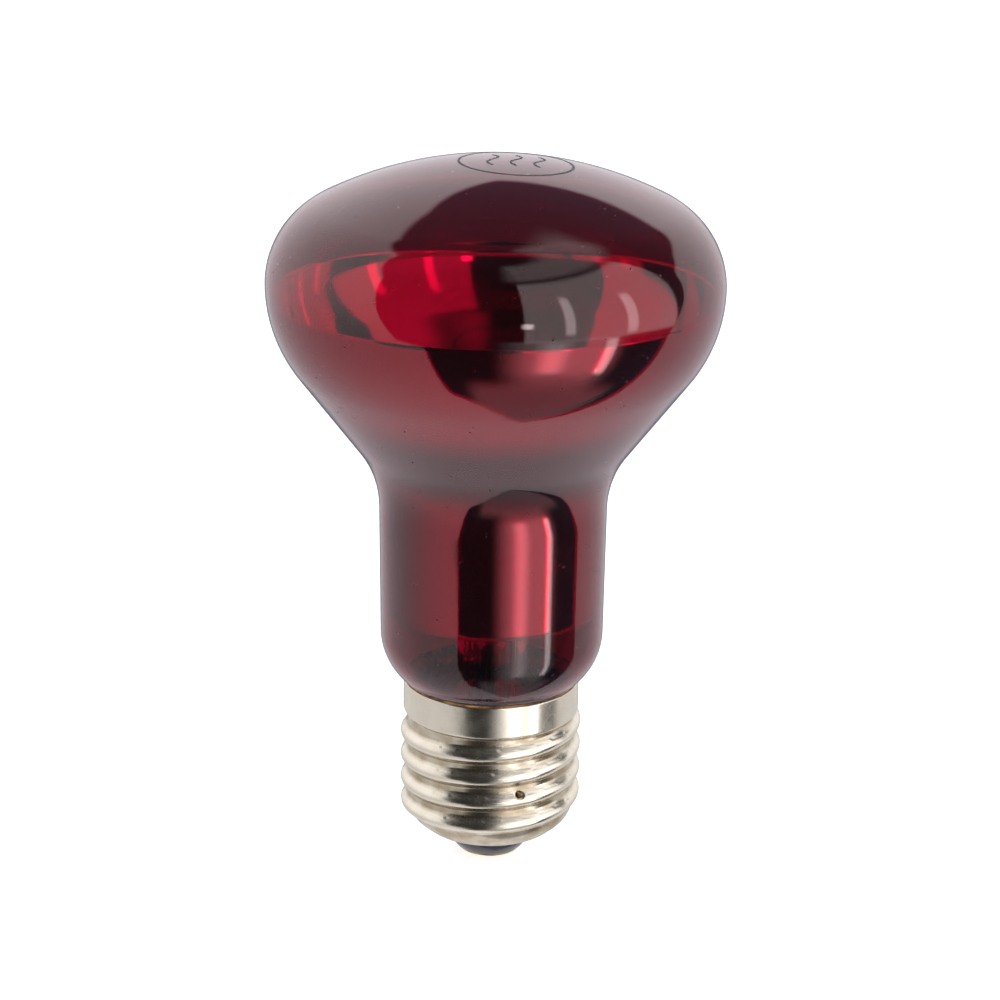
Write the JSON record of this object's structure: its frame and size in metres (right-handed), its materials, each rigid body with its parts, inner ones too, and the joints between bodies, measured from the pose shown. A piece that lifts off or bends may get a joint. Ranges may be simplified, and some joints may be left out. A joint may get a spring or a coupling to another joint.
{
  "type": "infrared reflector lamp",
  "caption": "Ruby glass infrared reflector bulb for poultry and small livestock brooders, with an inner mirror, filament mount and E27 screw cap.",
  "frame": {"origin": "middle of the flat under the centre contact, on the lamp's axis", "axes": "+Z along the lamp's axis, from the cap to the crown; the side solder is on +Y"},
  "size_m": [0.064, 0.064, 0.1032],
  "materials": {
    "ruby_glass": "blown ruby glass, fire-polished",
    "mirror_film": "evaporated aluminium mirror",
    "stem_glass": "clear lead glass",
    "tungsten": "drawn tungsten wire, coiled",
    "molybdenum_wire": "drawn molybdenum wire",
    "nickel_wire": "nickel-plated wire",
    "dumet_wire": "borated copper-clad dumet wire",
    "copper_wire": "bare copper wire",
    "nickel_plate": "rolled sheet, nickel plated",
    "vitrite": "pressed black vitrite glass",
    "contact_brass": "stamped brass",
    "solder": "tin solder, dull",
    "cement": "baked capping cement"
  },
  "bodies": {
    "root": {"glass_bulb": "ruby_glass", "mirror_coating": "mirror_film", "stem_flare": "stem_glass", "exhaust_tube": "stem_glass", "arbor_rod": "stem_glass", "fuse_sleeve": "stem_glass", "filament": "tungsten", "inner_lead_1": "nickel_wire", "inner_lead_2": "nickel_wire", "seal_wire_1": "dumet_wire", "seal_wire_2": "dumet_wire", "shell_lead": "copper_wire", "centre_lead": "copper_wire", "fuse_wire": "copper_wire", "screw_shell": "nickel_plate", "base_insulator": "vitrite", "contact_plate": "contact_brass", "centre_solder": "solder", "side_solder": "solder", "cement_ring": "cement", "support_wire_1": "molybdenum_wire", "support_wire_2": "molybdenum_wire", "support_wire_3": "molybdenum_wire", "support_wire_4": "molybdenum_wire"}
  },
  "joints": []
}
